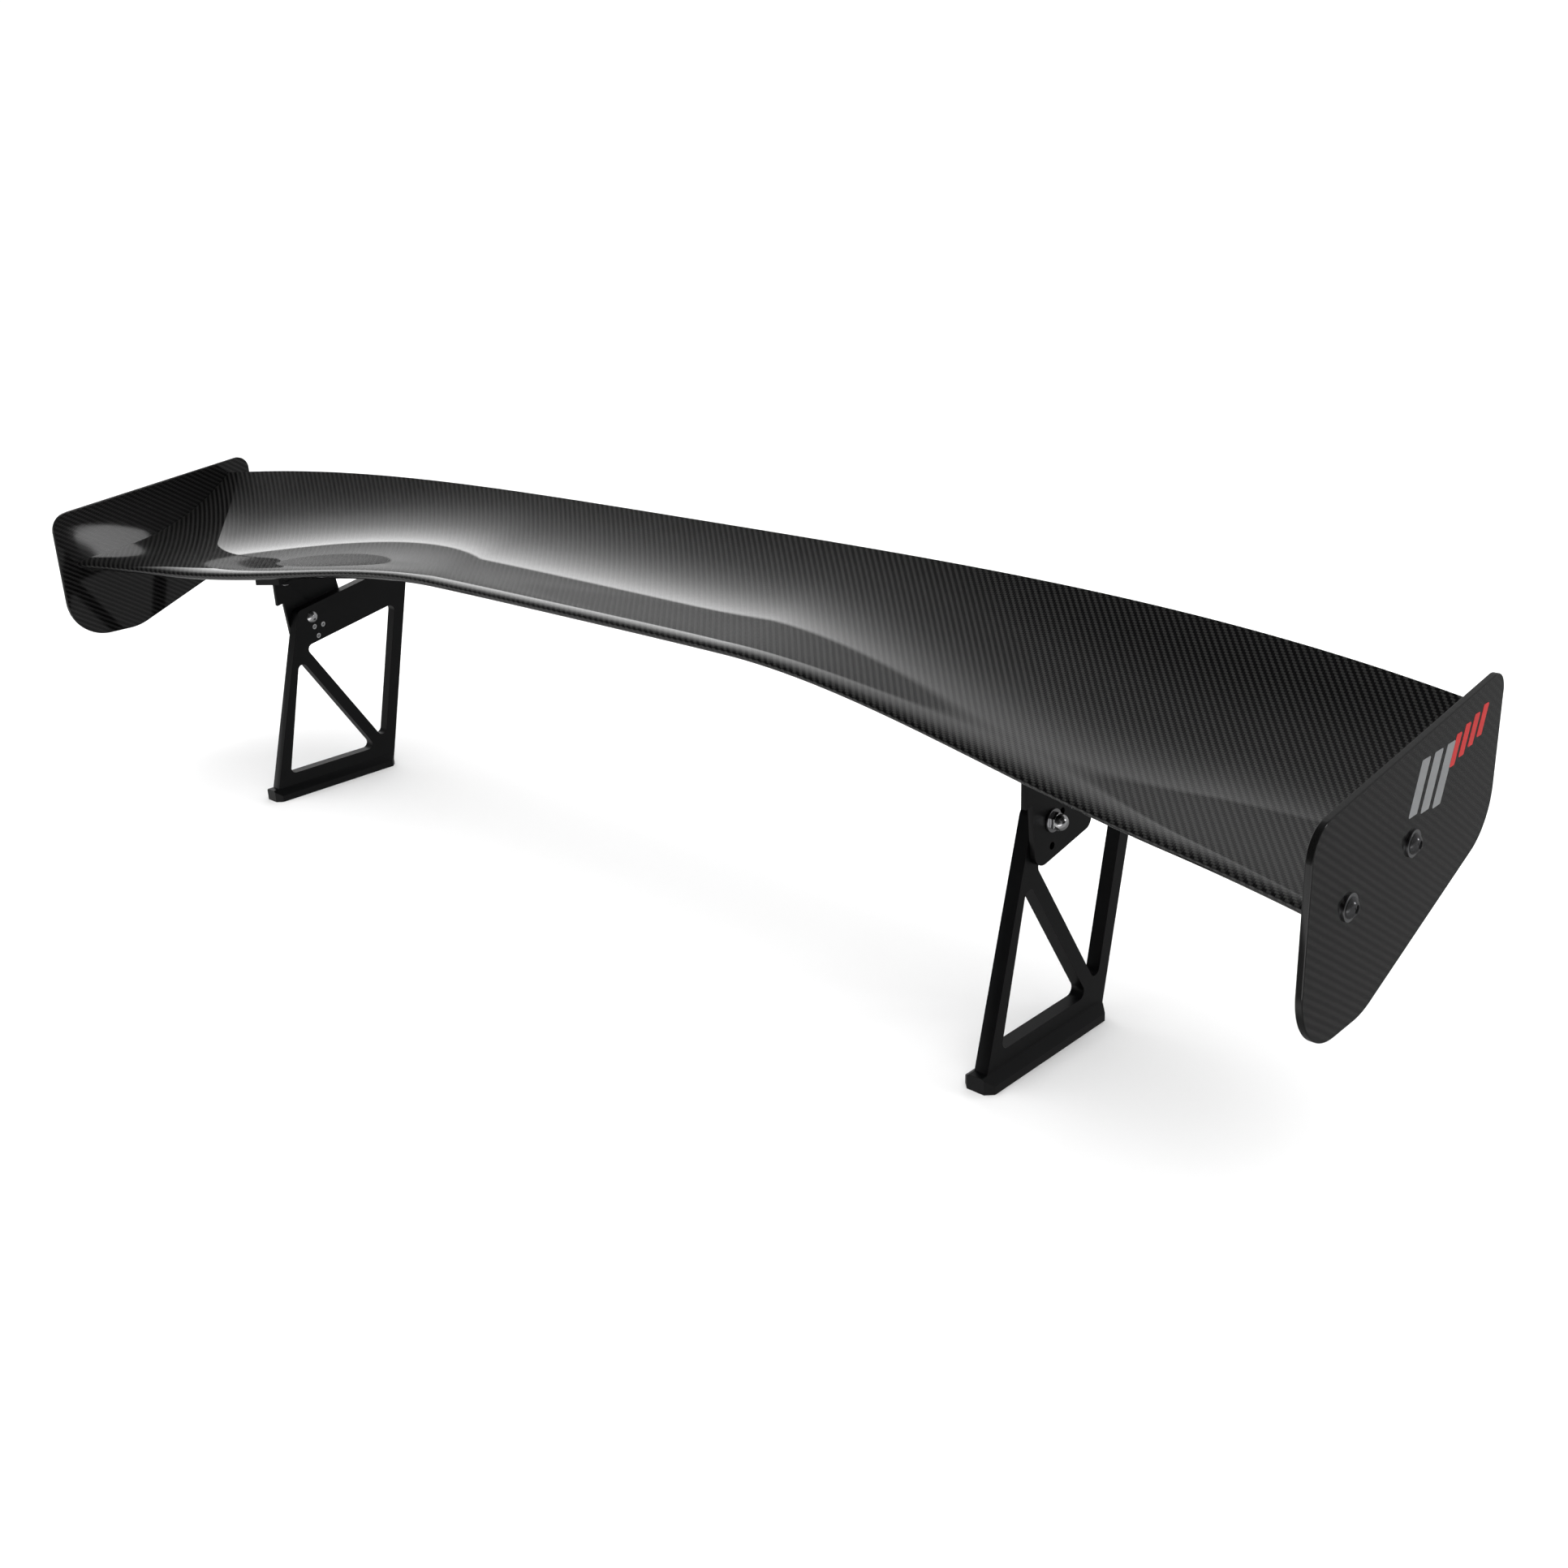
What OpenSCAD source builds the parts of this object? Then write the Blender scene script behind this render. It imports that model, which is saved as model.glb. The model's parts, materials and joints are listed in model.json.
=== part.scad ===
// Racing rear wing: a hollow carbon aerofoil between two flat end plates, on two machined pedestals.
// X runs along the span, -Y points into the wind and Z is up from the deck that the feet bolt to.
// The wing tilts about the two pivot bolts that join its brackets to the pedestals.

/* [Wing] */
// Span between the end plates
span = 1541; // [1250:1:1900]
// Front of the nose at midspan, ahead of the foot centres
nose_ahead = 38; // [25:1:55]
// Tail at midspan, behind the foot centres
tail_behind = 135; // [120:1:165]
// How far the nose comes forward at the tips
nose_sweep = 90; // [60:1:100]
// How far the tail comes forward at the tips
tail_sweep = 55; // [20:1:65]
// Height of the nose at midspan
nose_mid_z = 283; // [270:1:295]
// Height of the nose outboard of the raised middle
nose_out_z = 242; // [238:1:255]
// Height of the tail at midspan
tail_mid_z = 336; // [325:1:350]
// How far the tail drops at the tips
tail_drop = 20; // [0:1:30]
// Camber at midspan and at the tips, as a share of the chord
camber_mid = 0.115; // [0.08:0.005:0.13]
camber_tip = 0.127; // [0.10:0.001:0.14]
// Thickness of the aerofoil, as a share of the chord
thickness = 0.111; // [0.10:0.001:0.14]
// Wall of the carbon skins
skin_t = 1.6; // [1.2:0.1:2.4]

/* [End plates] */
// Length of an end plate, front to back
plate_l = 255; // [245:1:300]
// Front edge of an end plate, ahead of the foot centres
plate_ahead = 147; // [140:1:170]
// Height of an end plate's lowest point
plate_low_z = 156; // [130:1:170]
// Height of the top edge at the front and at the back
plate_front_z = 302; // [285:1:320]
plate_back_z = 335; // [328:1:370]
// Thickness of an end plate
plate_t = 5; // [3:0.5:8]
// Where the two bolts sit along the tip chord
bolt_u = [0.13, 0.50];

/* [Pedestals] */
// Distance between the two pedestals' centre planes
foot_gap = 984; // [800:1:1150]
// Height of the pivot above the deck
pivot_z = 196; // [190:1:202]
// Thickness of a pedestal plate
pedestal_t = 12; // [10:0.5:16]
// Length and width of a foot
foot_l = 158; // [150:1:200]
foot_w = 28; // [24:1:45]
// Height of a foot at its edge and where it meets the plate
foot_edge_h = 7; // [5:0.5:10]
foot_root_h = 13; // [11:0.5:16]
// Width of the legs and the brace around the windows
leg_w = 13; // [11:0.5:16]
// Spacing of the two deck bolt holes along a foot
deck_pitch = 100; // [90:1:110]
// Radius and depth of a tapped deck bolt hole
deck_hole_r = 3.4; // [2.5:0.1:4.2]
deck_hole_d = 18; // [12:1:20]

/* [Brackets] */
// Thickness of the bracket's web and of its flange under the wing
web_t = 4.5; // [3:0.5:6]
flange_t = 6; // [5:0.5:8]
// Width of the flange along the span
flange_w = 40; // [34:1:60]
// Radius of the bracket screws
screw_r = 2.5; // [2:0.25:3]

/* [Pivot and bolts] */
// Radius of the pivot bolts and the end plate bolts
bolt_r = 4; // [3:0.5:4.5]
// Radius of the index screws
index_r = 3; // [2:0.5:3]
// Radial clearance of a bolt in its hole
fit = 0.05; // [0.02:0.01:0.1]
// Gap between faces that turn past each other
lap_gap = 0.3; // [0.3:0.1:0.6]

/* [Hidden] */
$fn = 48;
half = span / 2;
foot_x = foot_gap / 2;
web_in = foot_x + pedestal_t / 2 + lap_gap;
web_out = web_in + web_t;
web_x = (web_in + web_out) / 2;
rib_t = 14;
head_r = 1.75 * bolt_r;
head_h = 1.1 * bolt_r;
washer_r = 2.25 * bolt_r;
washer_t = 1.6;
pivot = [0, pivot_z];
index_at = [[1.5, -11.5], [12.5, -11], [5, -22.5]];
bracket_hole_at = [[12.5, 3], [0, -20.5]];
tail_t = 0.004;
nose_wall = 2.5;
bond = 0.1;
seam = 0.001;
middle_in = 0.26;
middle_out = 0.84;
front_spar_u = 0.24;
rear_spar_u = 0.62;
spar_w = 0.035;
nose_steps = 10;
box_steps = 8;
tail_steps = 6;
flange_from = 6;
flange_to = nose_steps + 6;

// ---- Aerofoil ----

// Stations along the chord, from nose to tail, with one step across each spar
us = concat(
    [for (i = [0:nose_steps]) front_spar_u * pow(i / nose_steps, 2)],
    [for (i = [0:box_steps]) let (a = front_spar_u + spar_w) a + (rear_spar_u - a) * i / box_steps],
    [for (i = [0:tail_steps]) let (a = rear_spar_u + spar_w) a + (1 - a) * i / tail_steps]
);
front_spar_i = nose_steps;
rear_spar_i = nose_steps + 1 + box_steps;

// Stations along half the span, with one at each edge and the middle of the flange and one at the tip rib
function steps(a, b, n) = [for (i = [0:n - 1]) a + (b - a) * i / n];
inner_steps = 12;
outer_steps = 7;
xs_half = concat(
    steps(0, web_x - flange_w / 2, inner_steps),
    [web_x - flange_w / 2, web_x],
    steps(web_x + flange_w / 2, half - rib_t, outer_steps),
    [half - rib_t, half]
);
xs = concat([for (i = [len(xs_half) - 1:-1:1]) -xs_half[i]], xs_half);
flange_xs = [for (k = [0:2]) xs_half[inner_steps + k]];
rib_xs = [half - rib_t, half];

function ease(t) = let (c = min(max(t, 0), 1)) c * c * (3 - 2 * c);
function share(x) = abs(x) / half;
function outer(x) = ease((share(x) - middle_in) / (middle_out - middle_in));
function nose(x) = [-nose_ahead - nose_sweep * pow(share(x), 3), nose_mid_z + (nose_out_z - nose_mid_z) * outer(x)];
function tail(x) = [tail_behind - tail_sweep * pow(share(x), 3), tail_mid_z - tail_drop * pow(share(x), 4)];
function camber(x, u) = -4 * u * (1 - u) * (camber_mid + (camber_tip - camber_mid) * outer(x));
function depth(u) = 5 * thickness * (0.2969 * sqrt(u) - 0.1260 * u - 0.3516 * pow(u, 2)
    + 0.2843 * pow(u, 3) - 0.1036 * pow(u, 4)) + tail_t * u;

// A point of the section at x: u along the chord and n square to it, both as shares of the chord
function place(x, u, n) = let (a = nose(x), c = tail(x) - a) [x, a[0] + c[0] * u - c[1] * n, a[1] + c[1] * u + c[0] * n];
function chord(x) = norm(tail(x) - nose(x));
function skin(x, u, side) = place(x, u, camber(x, u) + side * depth(u));
function core(x, u, side, gap = 0) = place(x, u, camber(x, u)
    + side * max(depth(max(u - nose_wall / chord(x), 0)) - (skin_t + gap) / chord(x), 0));

// A closed solid through a row of loops with the same number of points
module loft(loops) {
    m = len(loops[0]);
    last = len(loops) - 1;
    points = [for (loop = loops) for (p = loop) p];
    sides = [for (i = [0:last - 1]) for (j = [0:m - 1])
        let (a = i * m + j, b = i * m + (j + 1) % m, c = b + m, d = a + m)
        each (loops[i][0][0] < 0 ? [[a, b, d], [b, c, d]] : [[a, b, c], [a, c, d]])];
    ends = [[for (j = [m - 1:-1:0]) j], [for (j = [0:m - 1]) last * m + j]];
    polyhedron(points, concat(sides, ends), convexity = 6);
}

// One skin, from its outer surface to the core, meeting the other one along the camber line
module wing_skin(side) {
    top = len(us) - 1;
    loft([for (x = xs) let (
        out = [for (i = [0:top]) skin(x, us[i], side)],
        in = [for (i = [top:-1:1]) core(x, us[i], side)])
        side > 0 ? concat(out, in) : [for (k = [len(out) + len(in) - 1:-1:0]) concat(out, in)[k]]]);
}

// What fills the core along a row of chord stations and some span stations, less the adhesive
function row(from, to) = [for (i = [from:to]) us[i]];
module core_block(stations, row) {
    loft([for (x = stations) concat(
        [for (u = row) core(x, u, 1, bond)],
        [for (i = [len(row) - 1:-1:0]) core(x, row[i], -1, bond)])]);
}

module wing_upper_skin() {
    color("dimgray") wing_skin(1);
}

module wing_lower_skin() {
    color("dimgray") difference() {
        wing_skin(-1);
        for (side = [-1, 1]) both(side) screw_holes();
    }
}

module front_spar() {
    color("darkslategray") spar(front_spar_i);
}

module rear_spar() {
    color("darkslategray") spar(rear_spar_i);
}

// A shear web one chord step wide, from tip rib to tip rib
module spar(i) {
    core_block([for (k = [1:len(xs) - 2]) xs[k]], row(i, i + 1));
}

// ---- Shared shapes ----

function unit(v) = v / norm(v);

// The arc, in even steps, that rounds the corner p between the points before and after it
function arc(before, p, after, r) = let (
    u = unit(before - p),
    v = unit(after - p),
    angle = acos(u * v) / 2,
    centre = p + unit(u + v) * r / sin(angle),
    start = p + u * r / tan(angle) - centre,
    end = p + v * r / tan(angle) - centre,
    from = atan2(start[1], start[0]),
    turn = (atan2(end[1], end[0]) - from + 540) % 360 - 180,
    n = ceil(abs(turn) / 9))
    [for (k = [0:n]) centre + r * [cos(from + turn * k / n), sin(from + turn * k / n)]];

// A convex outline whose corners are arcs of the given radii, or sharp where the radius is 0
module rounded(corners, radii) {
    n = len(corners);
    polygon([for (i = [0:n - 1]) each (radii[i] == 0
        ? [corners[i]]
        : arc(corners[(i + n - 1) % n], corners[i], corners[(i + 1) % n], radii[i]))]);
}

// A plate whose outline is drawn in Y and Z, from x to x + t
module plate(x, t) {
    translate([x, 0, 0]) rotate([90, 0, 90]) linear_extrude(t) children();
}

// A rod along X through [y, z], from x to x + l
module rod(x, at, r, l) {
    translate([x, at[0], at[1]]) rotate([0, 90, 0]) cylinder(r = r, h = l);
}

// Domed head with a hex socket, seated at x = 0 and rising towards +X
module button_head(r, h) {
    ball = (r * r + h * h) / (2 * h);
    difference() {
        rotate([0, 90, 0]) intersection() {
            cylinder(r = r, h = h);
            translate([0, 0, h - ball]) sphere(ball);
        }
        translate([h * 0.45, 0, 0]) rotate([0, 90, 0]) cylinder(r = r * 0.42, h = h, $fn = 6);
    }
}

module both(side) {
    if (side > 0) children();
    else mirror([1, 0, 0]) children();
}

// ---- End plates and tips ----

function tip_bolt(k) = let (p = place(half, bolt_u[k], camber(half, bolt_u[k]))) [p[1], p[2]];
insert_r = bolt_r + 2;

module end_plate() {
    color("dimgray") difference() {
        plate(half, plate_t) rounded(
            [[-plate_ahead, plate_front_z], [plate_l - plate_ahead, plate_back_z],
             [plate_l - plate_ahead, plate_low_z + 0.27 * plate_l],
             [-plate_ahead + 0.32 * plate_l, plate_low_z], [-plate_ahead, plate_low_z]],
            [22, 14, 42, 60, 45]);
        for (k = [0, 1]) rod(half - 1, tip_bolt(k), bolt_r + fit, plate_t + 2);
    }
}

module plate_washers() {
    color("silver") for (k = [0, 1]) difference() {
        rod(half + plate_t, tip_bolt(k), washer_r, washer_t);
        rod(half + plate_t - 1, tip_bolt(k), bolt_r + fit, washer_t + 2);
    }
}

module plate_bolts() {
    seat = half + plate_t + washer_t;
    color("gainsboro") for (k = [0, 1]) {
        rod(half - rib_t + 1, tip_bolt(k), bolt_r, seat - half + rib_t - 1);
        translate([seat, tip_bolt(k)[0], tip_bolt(k)[1]]) button_head(head_r, head_h);
    }
}

module tip_rib() {
    color("tan") intersection() {
        core_block(rib_xs, row(4, len(us) - 3));
        difference() {
            translate([half - rib_t + fit, -plate_l, 0]) cube([rib_t - 2 * fit, 2 * plate_l, 2 * plate_l]);
            for (k = [0, 1]) rod(half - rib_t - 1, tip_bolt(k), insert_r, rib_t + 2);
        }
    }
}

module tip_inserts() {
    color("goldenrod") for (k = [0, 1]) difference() {
        rod(half - rib_t, tip_bolt(k), insert_r, rib_t);
        rod(half - rib_t - 1, tip_bolt(k), bolt_r + fit, rib_t + 2);
    }
}

// ---- Brackets ----

// Underside of the wing below the web, at chord station i
function under(i) = let (p = skin(web_x, us[i], -1)) [p[1], p[2]];

// Bracket screws: two rows along the chord, one on each side of the web
screw_rows = [(flange_from + nose_steps) / 2, nose_steps + 4];
screw_dx = flange_w * 0.3;
screw_head_r = 1.9 * screw_r;
screw_head_h = 1.1 * screw_r;
screw_reach = 12;
function screw_seat(i) = min(
    under(i)[1], skin(web_x - screw_dx, us[i], -1)[2], skin(web_x + screw_dx, us[i], -1)[2]) - flange_t * 0.6;

module at_screws() {
    for (i = screw_rows) for (s = [-1, 1])
        translate([web_x + s * screw_dx, under(i)[0], screw_seat(i)]) children();
}

module screw_holes() {
    at_screws() cylinder(r = screw_r + fit, h = 2 * screw_reach);
}

module bracket() {
    low = [for (i = [flange_from:flange_to]) under(i)];
    n = len(low) - 1;
    edge_z = pivot_z - 31;
    color("dimgray") difference() {
        union() {
            loft([for (x = flange_xs) concat(
                [for (i = [flange_from:flange_to]) skin(x, us[i], -1) - [0, 0, bond]],
                [for (i = [flange_to:-1:flange_from]) skin(x, us[i], -1) - [0, 0, flange_t]])]);
            plate(web_in, web_t) {
                rounded(
                    [[low[0][0] + 13, low[0][1] - flange_t + 1], low[n] - [2, flange_t - 1],
                     [52, edge_z + 11], [low[0][0] + 20, edge_z - 4]],
                    [0, 0, 8, 12]);
                polygon(concat(
                    [for (i = [1:n]) low[i] - [0, flange_t / 2]],
                    [low[n] - [3, 30], low[1] - [0, 30]]));
            }
        }
        at_screws() translate([0, 0, -40]) cylinder(r = screw_head_r + 0.4, h = 40);
        screw_holes();
        rod(web_in - 1, pivot, bolt_r + fit, web_t + 2);
        for (p = bracket_hole_at) rod(web_in - 1, pivot + p, index_r, web_t + 2);
    }
}

module bracket_screws() {
    color("silver") at_screws() {
        cylinder(r = screw_r, h = screw_reach);
        rotate([0, 90, 0]) button_head(screw_head_r, screw_head_h);
    }
}

module hard_points() {
    color("silver") difference() {
        union() {
            core_block(flange_xs, concat(row(flange_from, front_spar_i - 1), [front_spar_u - seam]));
            core_block(flange_xs, concat([front_spar_u + spar_w + seam], row(front_spar_i + 2, front_spar_i + 5)));
        }
        screw_holes();
    }
}

// ---- Pedestals ----

// The plate's corners in Y and Z, and the two windows that its legs and brace leave
edge_y = foot_l / 2;
front_low = [-edge_y + 3, 0];
front_top = [-17, pivot_z + 10];
rear_top = [132, pivot_z + 40];
rear_low = [edge_y, 0];
arm_h = 42;

function along(a, b, z) = a + (b - a) * (z - a[1]) / (b[1] - a[1]);
function arm_z(y) = front_top[1] - arm_h + (rear_top[1] - front_top[1]) * (y - front_top[0]) / (rear_top[0] - front_top[0]);
sill_z = foot_root_h + leg_w;
window_front_y = along(front_low, front_top, sill_z)[0] + 1.05 * leg_w;
upper_front = [front_top[0] + 3, arm_z(front_top[0] + 3)];
upper_rear = [along(rear_low, rear_top, arm_z(108))[0] - 1.05 * leg_w, arm_z(108)];
upper_low = [along(rear_low, rear_top, sill_z + 4)[0] - 1.05 * leg_w, sill_z + 4];
brace = unit(upper_low - upper_front);
brace_side = [brace[1], -brace[0]] * leg_w;
lower_start = upper_front + brace_side;
lower_top = lower_start + brace * 3;
lower_rear = lower_start + brace * (lower_start[1] - sill_z) / -brace[1];

module pedestal() {
    color("dimgray") difference() {
        union() {
            plate(foot_x - pedestal_t / 2, pedestal_t)
                rounded([front_low, front_top, rear_top, rear_low], [0, 6, 6, 0]);
            foot();
        }
        plate(foot_x - pedestal_t, 2 * pedestal_t) {
            rounded([upper_front, upper_rear, upper_low], [6, 6, 6]);
            rounded([lower_top, lower_rear, [window_front_y, sill_z]], [6, 6, 6]);
        }
        rod(foot_x - pedestal_t, pivot, bolt_r + fit, 2 * pedestal_t);
        for (p = index_at) rod(foot_x - pedestal_t, pivot + p, index_r + fit, 2 * pedestal_t);
        for (s = [-1, 1]) translate([foot_x, s * deck_pitch / 2, -1]) cylinder(r = deck_hole_r, h = deck_hole_d + 1);
    }
}

// The foot: a bar with sloping shoulders, its four plan corners cut off
module foot() {
    corner = 6;
    w = foot_w / 2;
    intersection() {
        translate([foot_x, foot_l / 2, 0]) rotate([90, 0, 0]) linear_extrude(foot_l)
            polygon([[-w, 0], [w, 0], [w, foot_edge_h], [pedestal_t / 2, foot_root_h],
                     [-pedestal_t / 2, foot_root_h], [-w, foot_edge_h]]);
        translate([foot_x, 0, 0]) linear_extrude(foot_root_h)
            polygon([for (s = [1, -1]) each [
                [s * w, s * (edge_y - corner)], [s * (w - corner), s * edge_y],
                [-s * (w - corner), s * edge_y], [-s * w, s * (edge_y - corner)]]]);
    }
}

// ---- Pivots ----

head_x = foot_x - pedestal_t / 2;
washer_x = web_out + lap_gap;
nut_x = washer_x + washer_t;
nut_h = 1.6 * bolt_r;

module pivot_bolt() {
    color("gainsboro") {
        rod(head_x, pivot, bolt_r, nut_x - head_x + nut_h * 0.8);
        translate([head_x, pivot[0], pivot[1]]) rotate([0, 0, 180]) button_head(head_r, head_h);
    }
}

module pivot_washer() {
    color("silver") difference() {
        rod(washer_x, pivot, washer_r, washer_t);
        rod(washer_x - 1, pivot, bolt_r + fit, washer_t + 2);
    }
}

module pivot_nut() {
    flats_r = 1.86 * bolt_r;
    color("gainsboro") difference() {
        translate([nut_x, pivot[0], pivot[1]]) rotate([0, 90, 0]) union() {
            cylinder(r = flats_r, h = nut_h * 0.6, $fn = 6);
            intersection() {
                cylinder(r = flats_r * 0.84, h = nut_h * 1.7);
                translate([0, 0, nut_h * 0.7]) sphere(flats_r * 0.9);
            }
        }
        rod(nut_x - 1, pivot, bolt_r + fit, nut_h * 0.85 + 1);
    }
}

module index_screws() {
    l = pedestal_t - 3;
    color("silver") for (p = index_at) difference() {
        rod(head_x + 1, pivot + p, index_r, l);
        translate([head_x, (pivot + p)[0], (pivot + p)[1]]) rotate([0, 90, 0])
            cylinder(r = index_r * 0.55, h = 4, $fn = 6);
    }
}

wing_upper_skin();
wing_lower_skin();
front_spar();
rear_spar();
both(-1) tip_rib();  // tip_rib_left
both(1) tip_rib();  // tip_rib_right
both(-1) tip_inserts();  // tip_inserts_left
both(1) tip_inserts();  // tip_inserts_right
both(-1) end_plate();  // end_plate_left
both(1) end_plate();  // end_plate_right
both(-1) plate_bolts();  // plate_bolts_left
both(1) plate_bolts();  // plate_bolts_right
both(-1) plate_washers();  // plate_washers_left
both(1) plate_washers();  // plate_washers_right
both(-1) hard_points();  // hard_points_left
both(1) hard_points();  // hard_points_right
both(-1) bracket();  // bracket_left
both(1) bracket();  // bracket_right
both(-1) bracket_screws();  // bracket_screws_left
both(1) bracket_screws();  // bracket_screws_right
both(-1) pedestal();  // pedestal_left
both(1) pedestal();  // pedestal_right
both(-1) pivot_bolt();  // pivot_bolt_left
both(1) pivot_bolt();  // pivot_bolt_right
both(-1) pivot_washer();  // pivot_washer_left
both(1) pivot_washer();  // pivot_washer_right
both(-1) pivot_nut();  // pivot_nut_left
both(1) pivot_nut();  // pivot_nut_right
both(-1) index_screws();  // index_screws_left
both(1) index_screws();  // index_screws_right
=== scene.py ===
import bpy
import bmesh
import json
import math
import numpy as np
from mathutils import Matrix, Vector
from mathutils.geometry import tessellate_polygon


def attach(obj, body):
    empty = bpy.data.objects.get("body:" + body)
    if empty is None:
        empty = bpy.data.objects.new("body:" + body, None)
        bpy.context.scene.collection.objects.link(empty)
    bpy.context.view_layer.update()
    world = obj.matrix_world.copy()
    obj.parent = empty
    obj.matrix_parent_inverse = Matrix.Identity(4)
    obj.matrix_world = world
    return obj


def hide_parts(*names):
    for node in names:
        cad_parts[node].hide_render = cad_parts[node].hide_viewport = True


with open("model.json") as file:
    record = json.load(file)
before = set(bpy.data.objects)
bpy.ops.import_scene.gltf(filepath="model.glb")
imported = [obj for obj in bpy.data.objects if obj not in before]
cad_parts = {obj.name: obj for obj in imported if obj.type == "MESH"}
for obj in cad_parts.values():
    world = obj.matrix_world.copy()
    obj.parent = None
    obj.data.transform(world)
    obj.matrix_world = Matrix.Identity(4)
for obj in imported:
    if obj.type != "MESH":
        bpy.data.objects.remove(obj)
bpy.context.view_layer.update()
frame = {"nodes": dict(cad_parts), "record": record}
nodeBody = {node: body for body, nodes in frame["record"]["behaviour"]["bodies"].items() for node in nodes}
print("frame loaded:", len(frame["nodes"]), "nodes")

# camera: standing to the right of the wing, looking across it to the left and down
camera = {"place": (1.1611, -0.9607, 0.6668), "yaw": 44.068, "pitch": 20.688, "roll": -2.491,
          "lens": 38.92, "sensor": 36, "near": 0.05, "far": 50}


def addCamera(c):
    # forward from yaw and pitch, then right and up turned about it by the roll
    yaw, pitch, roll = (math.radians(c[k]) for k in ("yaw", "pitch", "roll"))
    forward = Vector((-math.sin(yaw) * math.cos(pitch), math.cos(yaw) * math.cos(pitch), -math.sin(pitch)))
    level = forward.cross(Vector((0, 0, 1))).normalized()
    upright = level.cross(forward)
    right = math.cos(roll) * level + math.sin(roll) * upright
    up = math.cos(roll) * upright - math.sin(roll) * level
    data = bpy.data.cameras.new("camera")
    data.lens, data.sensor_width = c["lens"], c["sensor"]
    data.clip_start, data.clip_end = c["near"], c["far"]
    obj = bpy.data.objects.new("camera", data)
    bpy.context.scene.collection.objects.link(obj)
    turn = Matrix((right, up, -forward)).transposed()
    obj.matrix_world = Matrix.Translation(c["place"]) @ turn.to_4x4()
    bpy.context.scene.camera = obj


addCamera(camera)
print("camera placed")


def put(tree, kind, values=None, **settings):
    # one node, its settings, and its input values or the sockets that feed them
    node = tree.nodes.new(kind)
    for name, value in settings.items():
        setattr(node, name, value)
    for name, value in (values or {}).items():
        if isinstance(value, bpy.types.NodeSocket):
            tree.links.new(value, node.inputs[name])
        else:
            node.inputs[name].default_value = value
    return node


def calc(tree, operation, a, b=0.0, c=0.0):
    return put(tree, "ShaderNodeMath", {0: a, 1: b, 2: c}, operation=operation).outputs[0]


def blend(tree, factor, a, b):
    # a where factor is 0, b where it is 1, as colours
    node = put(tree, "ShaderNodeMix", data_type="RGBA")
    for socket, value in ((node.inputs[0], factor), (node.inputs[6], a), (node.inputs[7], b)):
        if isinstance(value, bpy.types.NodeSocket):
            tree.links.new(value, socket)
        else:
            socket.default_value = value
    return node.outputs[2]


def newGroup(name, inputs, outputs):
    tree = bpy.data.node_groups.new(name, "ShaderNodeTree")
    for label, kind, value in inputs:
        socket = tree.interface.new_socket(label, in_out="INPUT", socket_type="NodeSocket" + kind)
        if value is not None:
            socket.default_value = value
    for label, kind in outputs:
        tree.interface.new_socket(label, in_out="OUTPUT", socket_type="NodeSocket" + kind)
    return tree, tree.nodes.new("NodeGroupInput"), tree.nodes.new("NodeGroupOutput")


def newMaterial(name, **values):
    material = bpy.data.materials.new(name)
    material.use_nodes = True
    tree = material.node_tree
    shader = tree.nodes["Principled BSDF"]
    for label, value in values.items():
        shader.inputs[label].default_value = value
    return material, tree, shader


def useGroup(tree, group, values):
    node = put(tree, "ShaderNodeGroup", node_tree=group)
    for name, value in values.items():
        if isinstance(value, bpy.types.NodeSocket):
            tree.links.new(value, node.inputs[name])
        else:
            node.inputs[name].default_value = value
    return node


# how a tow is crowned across, how far it dips at the ends of its float, and how its fibre noise is drawn out
twill = {"repeat": 4.0, "lastOver": 1.5, "crown": 2.4, "dip": 0.45, "along": 0.3, "across": 9.0,
         "warpApart": 7.0, "detail": 2.0}


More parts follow.
